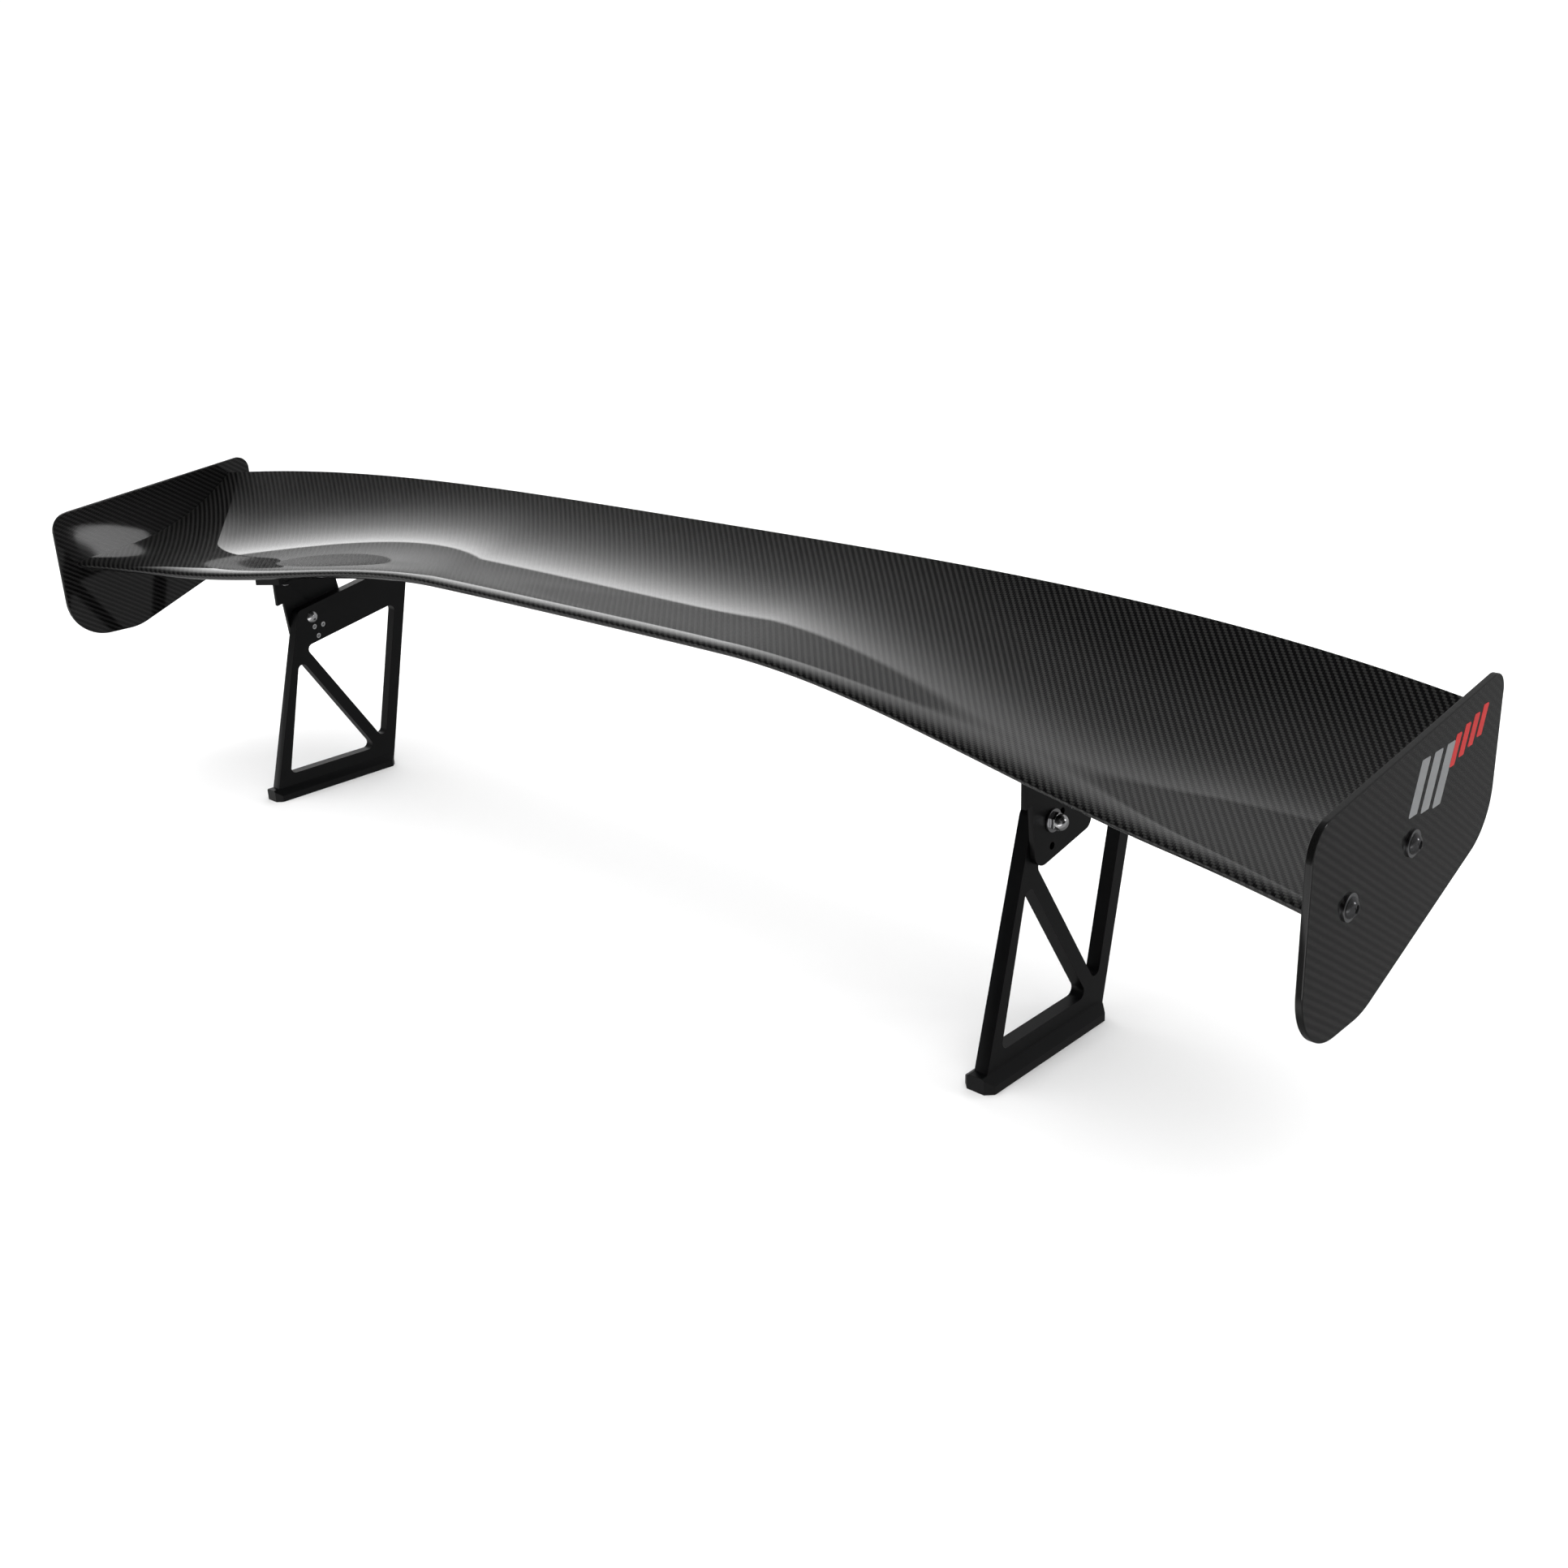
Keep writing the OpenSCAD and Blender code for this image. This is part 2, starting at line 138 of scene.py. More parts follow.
def buildTwill():
    # 2x2 twill: cells of one tow each way. Where (column + row) mod 4 is under 2 the weft lies on top,
    # elsewhere the warp does. A tow's height is a rounded crown across it times a half sine along its float.
    tree, given, out = newGroup(
        "twillWeave",
        [("Position", "Vector", None), ("Tow", "Float", 0.002)],
        [("Weft", "Float"), ("Height", "Float"), ("Fibre", "Float")])
    split = put(tree, "ShaderNodeSeparateXYZ", {0: given.outputs["Position"]})
    across = calc(tree, "DIVIDE", split.outputs[0], given.outputs["Tow"])
    along = calc(tree, "DIVIDE", split.outputs[1], given.outputs["Tow"])
    column, row = calc(tree, "FLOOR", across), calc(tree, "FLOOR", along)
    inColumn, inRow = calc(tree, "FRACT", across), calc(tree, "FRACT", along)
    phase = calc(tree, "FLOORED_MODULO", calc(tree, "ADD", column, row), twill["repeat"])
    weft = calc(tree, "LESS_THAN", phase, twill["lastOver"])
    warp = calc(tree, "SUBTRACT", 1.0, weft)

    def towHeight(side, share):
        offCentre = calc(tree, "MULTIPLY_ADD", side, 2.0, -1.0)
        fall = calc(tree, "POWER", calc(tree, "ABSOLUTE", offCentre), twill["crown"])
        wave = calc(tree, "SINE", calc(tree, "MULTIPLY", share, math.pi))
        rise = calc(tree, "MULTIPLY_ADD", wave, twill["dip"], 1 - twill["dip"])
        return calc(tree, "MULTIPLY", calc(tree, "SUBTRACT", 1.0, fall), rise)

    weftShare = calc(tree, "MULTIPLY", calc(tree, "ADD", phase, inColumn), 0.5)
    warpPhase = calc(tree, "SUBTRACT", phase, twill["repeat"] / 2)
    warpShare = calc(tree, "MULTIPLY", calc(tree, "ADD", warpPhase, inRow), 0.5)
    weftHeight = calc(tree, "MULTIPLY", towHeight(inRow, weftShare), weft)
    warpHeight = calc(tree, "MULTIPLY", towHeight(inColumn, warpShare), warp)
    # fibres: noise drawn out along whichever tow is on top
    long, short = twill["along"], twill["across"]
    weftLine = put(tree, "ShaderNodeCombineXYZ", {
        0: calc(tree, "MULTIPLY", across, long), 1: calc(tree, "MULTIPLY", along, short)})
    warpLine = put(tree, "ShaderNodeCombineXYZ", {
        0: calc(tree, "MULTIPLY", across, short), 1: calc(tree, "MULTIPLY", along, long),
        2: twill["warpApart"]})
    line = put(tree, "ShaderNodeMix", {0: weft}, data_type="VECTOR")
    tree.links.new(warpLine.outputs[0], line.inputs[4])
    tree.links.new(weftLine.outputs[0], line.inputs[5])
    fibre = put(tree, "ShaderNodeTexNoise", {
        "Vector": line.outputs[1], "Scale": 1.0, "Detail": twill["detail"]})
    tree.links.new(weft, out.inputs["Weft"])
    tree.links.new(calc(tree, "ADD", weftHeight, warpHeight), out.inputs["Height"])
    tree.links.new(fibre.outputs["Fac"], out.inputs["Fibre"])
    return tree


def buildGrain():
    # two noises: fine pits as left by blasting, and broad soft blotches of handling
    tree, given, out = newGroup(
        "fineGrain",
        [("Position", "Vector", None), ("Pits", "Float", 900.0), ("Blotches", "Float", 18.0)],
        [("Pit", "Float"), ("Blotch", "Float")])
    place = given.outputs["Position"]
    pits = put(tree, "ShaderNodeTexNoise", {
        "Vector": place, "Scale": given.outputs["Pits"], "Detail": 3.0})
    blotches = put(tree, "ShaderNodeTexNoise", {
        "Vector": place, "Scale": given.outputs["Blotches"], "Detail": 4.0, "Roughness": 0.6})
    tree.links.new(pits.outputs["Fac"], out.inputs["Pit"])
    tree.links.new(blotches.outputs["Fac"], out.inputs["Blotch"])
    return tree


twillWeave = buildTwill()
fineGrain = buildGrain()


# what every carbon finish shares: resin between tows, and how far fibres and blotches change the surface
cloth = {"pits": 400.0, "gap": (0.002, 0.002, 0.0025, 1), "gapShape": 0.5, "fibreRough": 0.2,
         "blotchRough": 0.12, "fibreRelief": 0.12, "coatIor": 1.5, "flatFace": 0.98}


def carbonMaterial(name, look, position):
    # woven tows under a smooth clear coat; position gives a place on the cloth and the weft's direction
    material, tree, shader = newMaterial(name, **{
        "Metallic": look["metal"], "Coat Weight": look["coat"], "Coat Roughness": look["coatRough"],
        "Coat IOR": cloth["coatIor"], "Specular IOR Level": look["specular"], "Anisotropic": look["stretch"]})
    place, along = position(tree)
    weave = useGroup(tree, twillWeave, {"Position": place, "Tow": look["tow"]})
    grain = useGroup(tree, fineGrain, {
        "Position": place, "Pits": cloth["pits"], "Blotches": look["blotches"]})
    # painted sheen: the weft tows get a base colour several times lighter than the warp tows, a lit and a shaded
    # copy of one black fibre standing in for the light the fibres catch
    warpShadedTone = blend(tree, weave.outputs["Fibre"], look["warpShadedDark"], look["warpShadedLight"])
    weftLitTone = blend(tree, weave.outputs["Fibre"], look["weftLitDark"], look["weftLitLight"])
    tone = blend(tree, weave.outputs["Weft"], warpShadedTone, weftLitTone)
    valley = calc(tree, "POWER", weave.outputs["Height"], cloth["gapShape"])
    toned = blend(tree, valley, cloth["gap"], tone)
    if "rim" in look:
        # plain resin round the rim, where the cloth was cut
        normal = put(tree, "ShaderNodeTexCoord").outputs["Normal"]
        facing = put(tree, "ShaderNodeSeparateXYZ", {0: normal}).outputs[0]
        flat = calc(tree, "GREATER_THAN", calc(tree, "ABSOLUTE", facing), cloth["flatFace"])
        toned = blend(tree, flat, look["rim"], toned)
    tree.links.new(toned, shader.inputs["Base Color"])
    # light is drawn out across the fibres, a quarter turn round from one tow to the other
    tree.links.new(along, shader.inputs["Tangent"])
    quarter = calc(tree, "MULTIPLY_ADD", weave.outputs["Weft"], -0.25, 0.25)
    tree.links.new(quarter, shader.inputs["Anisotropic Rotation"])
    rough = calc(tree, "MULTIPLY_ADD", weave.outputs["Fibre"], cloth["fibreRough"], look["rough"])
    rough = calc(tree, "MULTIPLY_ADD", grain.outputs["Blotch"], cloth["blotchRough"], rough)
    tree.links.new(rough, shader.inputs["Roughness"])
    relief = calc(tree, "MULTIPLY_ADD", weave.outputs["Fibre"], cloth["fibreRelief"], weave.outputs["Height"])
    bump = put(tree, "ShaderNodeBump", {
        "Height": relief, "Strength": look["bump"], "Distance": look["depth"]})
    tree.links.new(bump.outputs["Normal"], shader.inputs["Normal"])
    return material


def uvPlace(tree):
    # the skin's own cloth coordinates, and the direction along the weft
    tangent = put(tree, "ShaderNodeTangent", direction_type="UV_MAP", uv_map="cloth")
    return put(tree, "ShaderNodeUVMap", uv_map="cloth").outputs["UV"], tangent.outputs[0]


def sidePlace(tree):
    # the plate's own Y and Z as the cloth's two directions, turned a little as the cloth was laid
    place = put(tree, "ShaderNodeTexCoord").outputs["Object"]
    split = put(tree, "ShaderNodeSeparateXYZ", {0: place})
    flat = put(tree, "ShaderNodeCombineXYZ", {0: split.outputs[1], 1: split.outputs[2]})
    turn = math.radians(plateLook["turn"])
    weft = put(tree, "ShaderNodeCombineXYZ", {0: 0.0, 1: math.cos(turn), 2: -math.sin(turn)})
    turned = put(tree, "ShaderNodeMapping", {"Vector": flat.outputs[0], "Rotation": (0, 0, turn)})
    return turned.outputs[0], weft.outputs[0]


# the weft colours are painted sheen and the warp colours painted shade on the same black fibre; the dark and light
# ends of each pair are random fibre tone
skinLook = {
    "tow": 0.0018, "metal": 0.7, "coat": 1.0, "coatRough": 0.02, "specular": 0.0, "rough": 0.22,
    "blotches": 5.0, "stretch": 0.85, "bump": 0.35, "depth": 0.0003,
    "warpShadedDark": (0.003, 0.003, 0.0032, 1), "warpShadedLight": (0.012, 0.012, 0.0125, 1),
    "weftLitDark": (0.022, 0.022, 0.022, 1), "weftLitLight": (0.085, 0.085, 0.082, 1)}
plateLook = {
    "tow": 0.0018, "turn": -12.0, "metal": 0.4, "coat": 0.8, "coatRough": 0.05, "specular": 0.0,
    "rough": 0.34, "blotches": 7.0, "stretch": 0.6, "bump": 0.15, "depth": 0.0002, "rim": (0.006, 0.006, 0.006, 1),
    "warpShadedDark": (0.0015, 0.0015, 0.0015, 1), "warpShadedLight": (0.004, 0.004, 0.004, 1),
    "weftLitDark": (0.012, 0.012, 0.0115, 1), "weftLitLight": (0.030, 0.0305, 0.029, 1)}
coreLook = {**plateLook, "coat": 0.0, "rough": 0.5}

skinCarbon = carbonMaterial("glossyCarbon", skinLook, uvPlace)
plateCarbon = carbonMaterial("plateCarbon", plateLook, sidePlace)
coreCarbon = carbonMaterial("coreCarbon", coreLook, sidePlace)


def metalMaterial(name, look):
    # plain metal or anodised alloy with pits, blotches and a little bump
    material, tree, shader = newMaterial(name, **{
        "Metallic": look["metal"], "Coat Weight": look.get("coat", 0.0), "Coat Roughness": 0.12,
        "Specular IOR Level": look.get("specular", 0.5)})
    place = put(tree, "ShaderNodeTexCoord").outputs["Object"]
    grain = useGroup(tree, fineGrain, {
        "Position": place, "Pits": look["pits"], "Blotches": look["blotches"]})
    tone = blend(tree, grain.outputs["Blotch"], look["dark"], look["light"])
    tree.links.new(tone, shader.inputs["Base Color"])
    rough = calc(tree, "MULTIPLY_ADD", grain.outputs["Pit"], look["roughSpread"], look["rough"])
    rough = calc(tree, "MULTIPLY_ADD", grain.outputs["Blotch"], look["roughSpread"], rough)
    tree.links.new(rough, shader.inputs["Roughness"])
    bump = put(tree, "ShaderNodeBump", {
        "Height": grain.outputs["Pit"], "Strength": look["bump"], "Distance": 0.0001})
    tree.links.new(bump.outputs["Normal"], shader.inputs["Normal"])
    return material


anodised = metalMaterial("anodisedBlack", {
    "metal": 0.3, "rough": 0.24, "roughSpread": 0.14, "pits": 2600.0, "blotches": 30.0, "bump": 0.25,
    "specular": 0.3,
    "dark": (0.0015, 0.0016, 0.0018, 1), "light": (0.005, 0.0052, 0.0058, 1)})
brightSteel = metalMaterial("brightSteel", {
    "metal": 1.0, "rough": 0.08, "roughSpread": 0.06, "pits": 1800.0, "blotches": 120.0, "bump": 0.05,
    "dark": (0.52, 0.52, 0.53, 1), "light": (0.70, 0.70, 0.71, 1)})
blackSteel = metalMaterial("blackSteel", {
    "metal": 0.8, "rough": 0.10, "roughSpread": 0.08, "pits": 1800.0, "blotches": 120.0, "bump": 0.08,
    "dark": (0.05, 0.05, 0.052, 1), "light": (0.11, 0.11, 0.113, 1)})
washerSteel = metalMaterial("washerSteel", {
    "metal": 1.0, "rough": 0.22, "roughSpread": 0.12, "pits": 2400.0, "blotches": 90.0, "bump": 0.15,
    "dark": (0.26, 0.26, 0.265, 1), "light": (0.42, 0.42, 0.43, 1)})
bareAlloy = metalMaterial("bareAlloy", {
    "metal": 1.0, "rough": 0.30, "roughSpread": 0.15, "pits": 1500.0, "blotches": 40.0, "bump": 0.2,
    "dark": (0.50, 0.51, 0.52, 1), "light": (0.68, 0.69, 0.70, 1)})
insertBrass = metalMaterial("insertBrass", {
    "metal": 1.0, "rough": 0.25, "roughSpread": 0.12, "pits": 1500.0, "blotches": 60.0, "bump": 0.1,
    "dark": (0.58, 0.40, 0.14, 1), "light": (0.78, 0.57, 0.25, 1)})
ribResin = metalMaterial("ribResin", {
    "metal": 0.0, "rough": 0.5, "roughSpread": 0.15, "pits": 700.0, "blotches": 25.0, "bump": 0.4,
    "dark": (0.22, 0.17, 0.10, 1), "light": (0.36, 0.29, 0.18, 1)})
greyVinyl = metalMaterial("greyVinyl", {
    "metal": 0.0, "rough": 0.25, "roughSpread": 0.1, "pits": 900.0, "blotches": 50.0, "bump": 0.1,
    "coat": 0.3,
    "dark": (0.20, 0.205, 0.21, 1), "light": (0.25, 0.255, 0.26, 1)})
redVinyl = metalMaterial("redVinyl", {
    "metal": 0.0, "rough": 0.25, "roughSpread": 0.1, "pits": 900.0, "blotches": 50.0, "bump": 0.1,
    "coat": 0.3,
    "dark": (0.48, 0.008, 0.008, 1), "light": (0.58, 0.012, 0.012, 1)})
print("materials built")


def newPiece(name, node, slot, material, vertices, faces, uvs=None):
    # stands for the node and hides it when a slot name is given, or only moves with it when there is no slot
    mesh = bpy.data.meshes.new(name)
    mesh.from_pydata(vertices, [], faces)
    if uvs is not None:
        layer = mesh.uv_layers.new(name="cloth")
        corner = np.empty(len(mesh.loops), np.int32)
        mesh.loops.foreach_get("vertex_index", corner)
        layer.data.foreach_set("uv", uvs[corner].astype(np.float32).ravel())
    obj = bpy.data.objects.new(name, mesh)
    bpy.context.scene.collection.objects.link(obj)
    mesh.materials.append(material)
    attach(obj, nodeBody[node])
    if slot:
        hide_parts(node)
    return obj


def faceOutwards(obj):
    edit = bmesh.new()
    edit.from_mesh(obj.data)
    bmesh.ops.recalc_face_normals(edit, faces=edit.faces)
    edit.to_mesh(obj.data)
    edit.free()


def smoothShade(obj, angle, weighted=True):
    obj.data.shade_smooth()
    obj.data.set_sharp_from_angle(angle=math.radians(angle))
    if weighted:
        modifier = obj.modifiers.new("evenNormals", "WEIGHTED_NORMAL")
        modifier.keep_sharp = True


def gridFaces(rows, columns, closed=True):
    # quads of a grid of points stored row by row, joined round each row when closed
    n = np.arange(columns if closed else columns - 1)
    start = (np.arange(rows - 1) * columns)[:, None]
    a, b = start + n, start + (n + 1) % columns
    return np.stack([a, b, b + columns, a + columns], -1).reshape(-1, 4)


wing = {
    "half": 0.7705, "noseAhead": 0.038, "noseSweep": 0.090, "noseMid": 0.283, "noseOut": 0.242,
    "tailBehind": 0.135, "tailSweep": 0.055, "tailMid": 0.336, "tailDrop": 0.020,
    "riseFrom": 0.26, "riseTo": 0.84, "camberMid": 0.115, "camberTip": 0.127, "thickness": 0.111,
    "tail": 0.004, "skin": 0.0016, "noseWall": 0.0025,
    "spanSteps": 300, "chordSteps": 80, "innerSteps": 30, "noseCrowding": 0.9}


def easeIn(t):
    t = np.clip(t, 0, 1)
    return t * t * (3 - 2 * t)


def wingEnds(x):
    # nose and tail of the section at x, and how far out of the raised middle it is, from 0 to 1
    s = np.abs(x) / wing["half"]
    out = easeIn((s - wing["riseFrom"]) / (wing["riseTo"] - wing["riseFrom"]))
    noseY = -wing["noseAhead"] - wing["noseSweep"] * s ** 3
    noseZ = wing["noseMid"] + (wing["noseOut"] - wing["noseMid"]) * out
    tailY = wing["tailBehind"] - wing["tailSweep"] * s ** 3
    tailZ = wing["tailMid"] - wing["tailDrop"] * s ** 4
    return np.stack([noseY, noseZ], -1), np.stack([tailY, tailZ], -1), out


def wingDepth(u):
    # half thickness along the chord, as a share of it: the four digit section's curve and a square tail
    curve = 0.2969 * np.sqrt(u) - 0.1260 * u - 0.3516 * u ** 2 + 0.2843 * u ** 3 - 0.1036 * u ** 4
    return 5 * wing["thickness"] * curve + wing["tail"] * u


def wingPoint(x, u, side, inner):
    # a point at x and chord share u: along the chord, then square to it by camber (a parabola) and depth
    nose, tail, out = wingEnds(x)
    run = tail - nose
    chord = np.linalg.norm(run, axis=-1)
    depth = wingDepth(u)
    if inner:
        depth = np.maximum(wingDepth(np.maximum(u - wing["noseWall"] / chord, 0)) - wing["skin"] / chord, 0)
    camber = wing["camberMid"] + (wing["camberTip"] - wing["camberMid"]) * out
    n = -4 * u * (1 - u) * camber + side * depth
    y = nose[..., 0] + run[..., 0] * u - run[..., 1] * n
    z = nose[..., 1] + run[..., 1] * u + run[..., 0] * n
    return np.stack([x, y, z], -1)


def wingSkin(name, node, side):
    # one loop round the skin's section at each x: the outer face from nose to tail, then the inner one back
    x = np.linspace(-wing["half"], wing["half"], wing["spanSteps"] + 1)[:, None]
    outer = (np.sin(np.linspace(0, math.pi / 2, wing["chordSteps"] + 1)) ** 2)[None, :]
    outer = 1 - (1 - outer) ** wing["noseCrowding"]
    inner = (np.sin(np.linspace(math.pi / 2, 0, wing["innerSteps"] + 1)) ** 2)[None, :-1]
    outside = wingPoint(*np.broadcast_arrays(x, outer), side, False)
    inside = wingPoint(*np.broadcast_arrays(x, inner), side, True)
    points = np.concatenate([outside, inside], 1)
    rows, columns = points.shape[:2]
    # the cloth: distance along the span, and round the section from the nose
    step = np.linalg.norm(np.diff(outside[:, :, 1:], axis=1), axis=-1)
    arc = np.concatenate([np.zeros((rows, 1)), np.cumsum(step, 1)], 1) * side
    back = np.linalg.norm(inside[:, :, 1:] - outside[:, :1, 1:], axis=-1) * side
    uvs = np.stack([np.broadcast_to(x, (rows, columns)), np.concatenate([arc, back], 1)], -1).reshape(-1, 2)
    points = points.reshape(-1, 3)
    faces = gridFaces(rows, columns).tolist()
    # the two tips are closed across the wall
    for loop in (list(range(columns)), list(range((rows - 1) * columns, rows * columns))):
        flat = [Vector((*p[1:], 0)) for p in points[loop]]
        faces += [tuple(loop[i] for i in triangle) for triangle in tessellate_polygon([flat])]
    obj = newPiece(name, node, "carbon_gloss", skinCarbon, points, faces, uvs)
    faceOutwards(obj)
    smoothShade(obj, 40, weighted=False)
    return obj


wingSkin("upperSkin", "wing_upper_skin", 1)
wingSkin("lowerSkin", "wing_lower_skin", -1)
print("wing skins made")


plate = {
    "ahead": 0.147, "length": 0.255, "frontTop": 0.302, "backTop": 0.335, "low": 0.156,
    "rearLow": 0.27, "frontLow": 0.32, "radii": (0.022, 0.014, 0.042, 0.060, 0.045), "thickness": 0.005,
    "edge": 0.0009, "edgeSteps": 5, "bolts": (0.13, 0.50), "hole": 0.00405, "holeSteps": 36}


def roundedOutline(corners, radii, steps=24):
    # each corner gives way to an arc that touches both sides; points and their inward directions
    corners = np.array(corners)
    points, inward = [], []
    for before, corner, after, r in zip(np.roll(corners, 1, 0), corners, np.roll(corners, -1, 0), radii):
        u, v = (d / np.linalg.norm(d) for d in (before - corner, after - corner))
        half = math.acos(u @ v) / 2
        centre = corner + (u + v) / np.linalg.norm(u + v) * r / math.sin(half)
        first, last = (corner + d * r / math.tan(half) - centre for d in (u, v))
        begin = math.atan2(first[1], first[0])
        turn = (math.atan2(last[1], last[0]) - begin + math.pi) % (2 * math.pi) - math.pi
        angle = begin + turn * np.linspace(0, 1, steps + 1)
        ray = np.stack([np.cos(angle), np.sin(angle)], -1)
        points.append(centre + r * ray)
        inward.append(-ray)
    return np.concatenate(points), np.concatenate(inward)


def endPlate(name, node, side):
    # the outline carried round a rim with two rounded edges, and two flat faces with the bolt holes in them
    p = plate
    back, front = p["length"] - p["ahead"], -p["ahead"]
    outline, inward = roundedOutline(
        [(front, p["frontTop"]), (back, p["backTop"]), (back, p["low"] + p["rearLow"] * p["length"]),
         (front + p["frontLow"] * p["length"], p["low"]), (front, p["low"])], p["radii"])
    bend = np.linspace(0, math.pi / 2, p["edgeSteps"] + 1)
    inset = p["edge"] * (1 - np.sin(bend))
    depth = p["edge"] * (1 - np.cos(bend))
    profile = np.concatenate([
        np.stack([inset, depth], -1), np.stack([inset[::-1], p["thickness"] - depth[::-1]], -1)])
    rimX = np.broadcast_to(wing["half"] + profile[:, 1, None, None], (len(profile), len(outline), 1))
    rim = np.concatenate([rimX, outline[None] + inward[None] * profile[:, 0, None, None]], -1)
    turn = np.linspace(0, 2 * math.pi, p["holeSteps"], endpoint=False)
    circle = p["hole"] * np.stack([np.cos(turn), np.sin(turn)], -1)
    m, base = len(circle), rim.shape[0] * rim.shape[1]
    holeX = np.broadcast_to(wing["half"] + np.array([0, p["thickness"]])[:, None, None], (2, m, 1))
    centres = [wingPoint(np.array(wing["half"]), np.array(u), 0, False)[1:] for u in p["bolts"]]
    holes = [np.concatenate([holeX, np.broadcast_to(centre + circle, (2, m, 2))], -1) for centre in centres]
    points = np.concatenate([rim.reshape(-1, 3)] + [h.reshape(-1, 3) for h in holes])
    faces = gridFaces(*rim.shape[:2]).tolist()
    starts = [base + 2 * m * k for k in range(len(holes))]
    for start in starts:
        faces += (gridFaces(2, m) + start).tolist()
    for rimRow, holeRow in ((0, 0), (len(profile) - 1, 1)):
        loops = [list(range(rimRow * len(outline), (rimRow + 1) * len(outline)))]
        loops += [list(range(start + holeRow * m, start + (holeRow + 1) * m)) for start in starts]
        order = sum(loops, [])
        flat = [[Vector((*points[v][1:], 0)) for v in loop] for loop in loops]
        faces += [tuple(order[i] for i in triangle) for triangle in tessellate_polygon(flat)]
    points[:, 0] *= side
    obj = newPiece(name, node, "carbon_plate", plateCarbon, points, faces)
    faceOutwards(obj)
    smoothShade(obj, 40)
    return obj


endPlate("rightPlate", "end_plate_right", 1)
endPlate("leftPlate", "end_plate_left", -1)
print("end plates made")

# plain slanted bars on the right plate's outer face, each its lower corner's y and z, width, height and lean
decal = {
    "film": 0.0001, "corner": 0.0012, "cornerSteps": 4,
    "grey": [(-0.024 + 0.017 * i, 0.271 - 0.002 * i, 0.012, 0.034 + 0.002 * i, 0.013 + 0.001 * i)
             for i in range(3)],
    "red": [(0.030 + 0.013 * i, 0.288 + 0.003 * i, 0.008, 0.020, 0.008) for i in range(4)]}


def decalBars(name, material, bars):
    # each bar's rounded outline twice, on the plate and a film's thickness above it, joined round and closed
    face = wing["half"] + plate["thickness"]
    points, faces = [], []
    for y, z, width, height, lean in bars:
        corners = [(y, z), (y + width, z), (y + width + lean, z + height), (y + lean, z + height)]
        outline = roundedOutline(corners, [decal["corner"]] * 4, decal["cornerSteps"])[0]
        n, start = len(outline), len(points) * 2 * len(outline)
        layers = [np.concatenate([np.full((n, 1), face + lift), outline], -1) for lift in (0, decal["film"])]
        points.append(np.concatenate(layers))
        faces += (gridFaces(2, n) + start).tolist()
        faces += [tuple(range(first, first + n)) for first in (start, start + n)]
    obj = newPiece(name, "end_plate_right", None, material, np.concatenate(points), faces)
    faceOutwards(obj)
    return obj


decalBars("greyBars", greyVinyl, decal["grey"])
decalBars("redBars", redVinyl, decal["red"])
print("decal made")

# points closer than "merge" become one, faces within "flat" degrees join, edges over "sharp" are bevelled
machining = {"merge": 2e-6, "flat": 0.6, "sharp": 30, "segments": 2}


def finishedCopy(name, node, material, bevel):
    # the node's own shape, its loose triangles merged and flat ones joined, its edges broken by a small bevel
    mesh = frame["nodes"][node].data.copy()
    mesh.name = name
    edit = bmesh.new()
    edit.from_mesh(mesh)
    flat, sharp = math.radians(machining["flat"]), math.radians(machining["sharp"])
    bmesh.ops.remove_doubles(edit, verts=edit.verts, dist=machining["merge"])
    bmesh.ops.dissolve_limit(edit, angle_limit=flat, verts=edit.verts, edges=edit.edges)
    edit.to_mesh(mesh)
    edit.free()
    mesh.materials.clear()
    mesh.materials.append(material)
    obj = bpy.data.objects.new(name, mesh)
    bpy.context.scene.collection.objects.link(obj)
    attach(obj, nodeBody[node])
    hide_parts(node)
    mesh.shade_smooth()
    mesh.set_sharp_from_angle(angle=sharp)
    modifier = obj.modifiers.new("brokenEdges", "BEVEL")
    modifier.width, modifier.segments = bevel, machining["segments"]
    modifier.limit_method, modifier.angle_limit = "ANGLE", sharp
    modifier.harden_normals = True
    modifier.use_clamp_overlap = True


machined = {
    "pedestal": ("black_alloy", anodised, 0.0007), "bracket": ("black_alloy", anodised, 0.0004),
    "plate_bolts": ("bright_steel", blackSteel, 0.0003), "plate_washers": ("steel", washerSteel, 0.0002),
    "bracket_screws": ("bright_steel", brightSteel, 0.0002),
    "pivot_bolt": ("bright_steel", brightSteel, 0.0003),
    "pivot_washer": ("steel", washerSteel, 0.0002), "pivot_nut": ("bright_steel", brightSteel, 0.0003),
    "index_screws": ("bright_steel", brightSteel, 0.0002)}
for base, (slot, material, bevel) in machined.items():
    for side in ("left", "right"):
        node = base + "_" + side
        name = side + "".join(word.capitalize() for word in base.split("_"))
        finishedCopy(name, node, material, bevel)
print("machined pieces finished")

# what the closed wing hides keeps its own mesh and gets its material
hidden = {
    "front_spar": coreCarbon, "rear_spar": coreCarbon, "tip_rib_left": ribResin, "tip_rib_right": ribResin,
    "tip_inserts_left": insertBrass, "tip_inserts_right": insertBrass,
    "hard_points_left": bareAlloy, "hard_points_right": bareAlloy}
for node, material in hidden.items():
    mesh = frame["nodes"][node].data
    mesh.materials.clear()
    mesh.materials.append(material)
print("inner pieces painted")


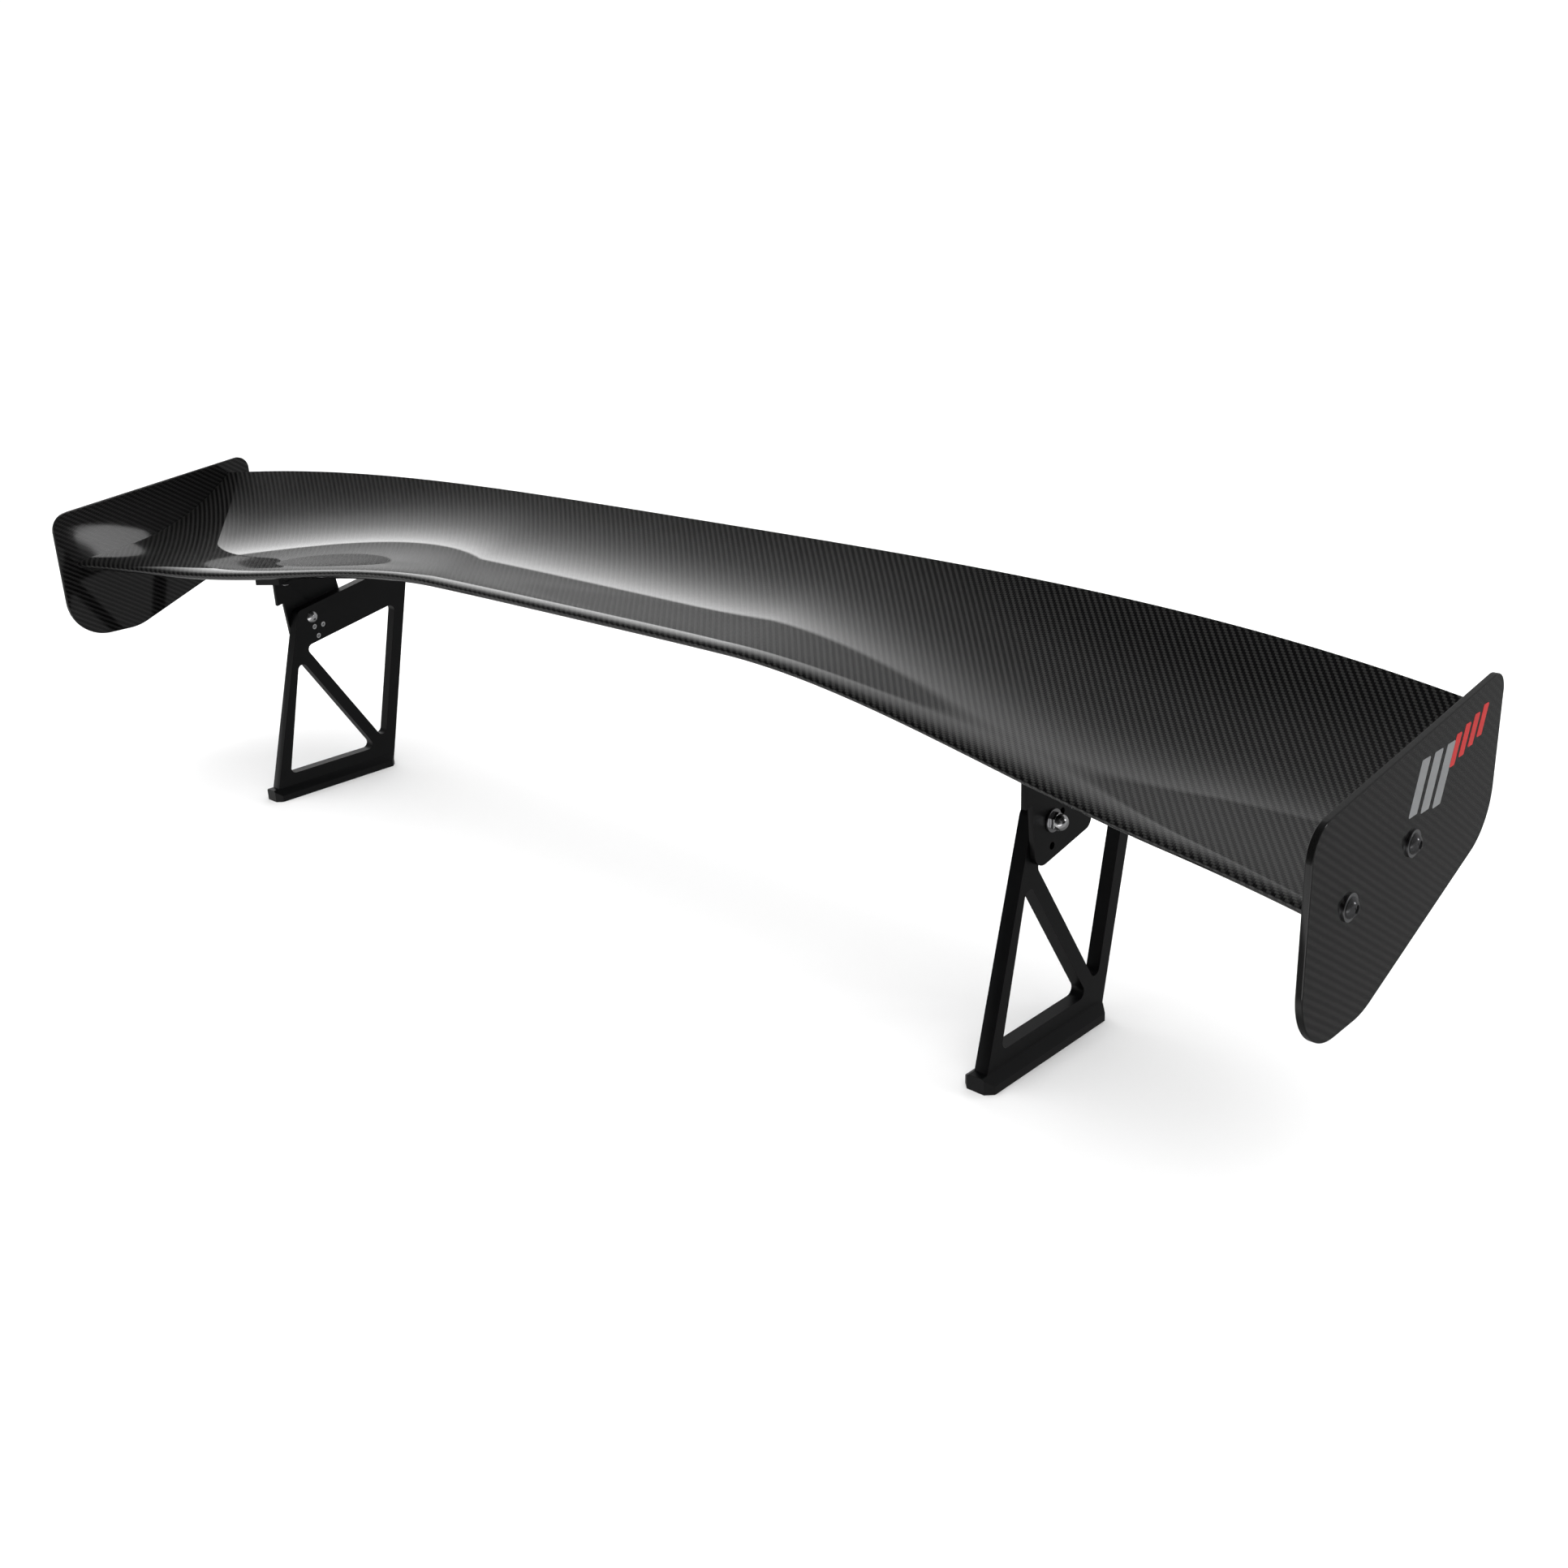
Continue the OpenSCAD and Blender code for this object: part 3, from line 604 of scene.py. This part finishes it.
# two planes through the middle cut the panel out of the sky: its lower edge, above which its brightness falls
# off, and its right end, past which nothing is brighter than "cap". Far from that end it fades, from and to
# these distances by these shares. Each level is (sine of the angle above the edge, brightness)
studio = {
    "floor": (0.92, 0.92, 0.92, 1), "floorRadius": 60.0, "seen": 1.05,
    "edge": (0.1129, -0.5016, 0.8577), "end": (-0.3592, -0.8004, 0.4800), "endSoft": (-0.012, 0.004),
    "cap": 0.38, "fade": (0.45, 0.65, 1.0, 0.3), "span": (-0.80, 0.75), "brightest": 3.0,
    "levels": (
        (-0.80, 0.20), (-0.60, 0.26), (-0.42, 0.60), (-0.28, 0.85), (-0.12, 0.60), (-0.006, 0.42),
        (0.006, 2.95), (0.07, 2.05), (0.14, 1.40), (0.21, 0.90), (0.30, 0.50), (0.375, 0.28),
        (0.454, 0.17), (0.70, 0.08)),
    "sun": 4.6, "sunSize": 100.0, "glint": {"place": (3.2, 1.5, 1.5), "size": 0.45, "power": 9.0}}


def buildFloor():
    # a wide disc, so that its far edge is lost in the wall behind
    turn = np.linspace(0, 2 * math.pi, 96, endpoint=False)
    rim = studio["floorRadius"] * np.stack([np.cos(turn), np.sin(turn), np.zeros_like(turn)], -1)
    mesh = bpy.data.meshes.new("floor")
    mesh.from_pydata(rim, [], [tuple(range(len(rim)))])
    obj = bpy.data.objects.new("floor", mesh)
    bpy.context.scene.collection.objects.link(obj)
    mesh.materials.append(newMaterial("paleFloor", **{
        "Base Color": studio["floor"], "Roughness": 0.9, "Specular IOR Level": 0.1})[0])
    obj.visible_glossy = False


def buildSky():
    # one big soft panel high beyond the left end and a dim room round it, all white to the camera itself
    world = bpy.data.worlds.new("studio")
    bpy.context.scene.world = world
    world.use_nodes = True
    tree = world.node_tree
    direction = put(tree, "ShaderNodeTexCoord").outputs["Generated"]
    planes = [put(tree, "ShaderNodeVectorMath", {0: direction, 1: studio[k]}, operation="DOT_PRODUCT")
              for k in ("edge", "end")]
    above, inside = [plane.outputs["Value"] for plane in planes]
    low, high = studio["span"]
    place = put(tree, "ShaderNodeMapRange", {"Value": above, "From Min": low, "From Max": high}).outputs[0]
    ramp = put(tree, "ShaderNodeValToRGB", {0: place})
    stops = ramp.color_ramp.elements
    while len(stops) < len(studio["levels"]):
        stops.new(0.5)
    for stop, (at, level) in zip(stops, studio["levels"]):
        grey = level / studio["brightest"]
        stop.position, stop.color = (at - low) / (high - low), (grey, grey, grey, 1)
    capped = calc(tree, "MINIMUM", ramp.outputs[0], studio["cap"] / studio["brightest"])
    outside, within = studio["endSoft"]
    kept = put(tree, "ShaderNodeMapRange", {
        "Value": inside, "From Min": outside, "From Max": within}).outputs[0]
    fromNear, fromFar, near, far = studio["fade"]
    fade = put(tree, "ShaderNodeMapRange", {
        "Value": inside, "From Min": fromNear, "From Max": fromFar, "To Min": near, "To Max": far}).outputs[0]
    mirrored = blend(tree, kept, capped, calc(tree, "MULTIPLY", ramp.outputs[0], fade))
    room = put(tree, "ShaderNodeBackground", {"Color": mirrored, "Strength": studio["brightest"]})
    wall = put(tree, "ShaderNodeBackground", {"Color": (1, 1, 1, 1), "Strength": studio["seen"]})
    straight = put(tree, "ShaderNodeLightPath").outputs["Is Camera Ray"]
    pick = put(tree, "ShaderNodeMixShader", {0: straight, 1: room.outputs[0], 2: wall.outputs[0]})
    tree.links.new(pick.outputs[0], tree.nodes["World Output"].inputs["Surface"])


def addSun():
    # broad soft light from above for the floor, which glossy faces don't mirror
    data = bpy.data.lights.new("overhead", "SUN")
    data.energy, data.angle = studio["sun"], math.radians(studio["sunSize"])
    obj = bpy.data.objects.new("overhead", data)
    bpy.context.scene.collection.objects.link(obj)
    obj.visible_glossy = False


def addGlint():
    # a small square lamp behind the right end, for the glints on bolt heads and edges
    lamp = studio["glint"]
    data = bpy.data.lights.new("glint", "AREA")
    data.energy, data.size = lamp["power"], lamp["size"]
    obj = bpy.data.objects.new("glint", data)
    bpy.context.scene.collection.objects.link(obj)
    obj.location = lamp["place"]
    obj.rotation_euler = (-Vector(lamp["place"])).to_track_quat("-Z", "Y").to_euler()


buildFloor()
buildSky()
addGlint()
addSun()
bpy.context.scene.view_settings.view_transform = "Standard"
print("studio lit")
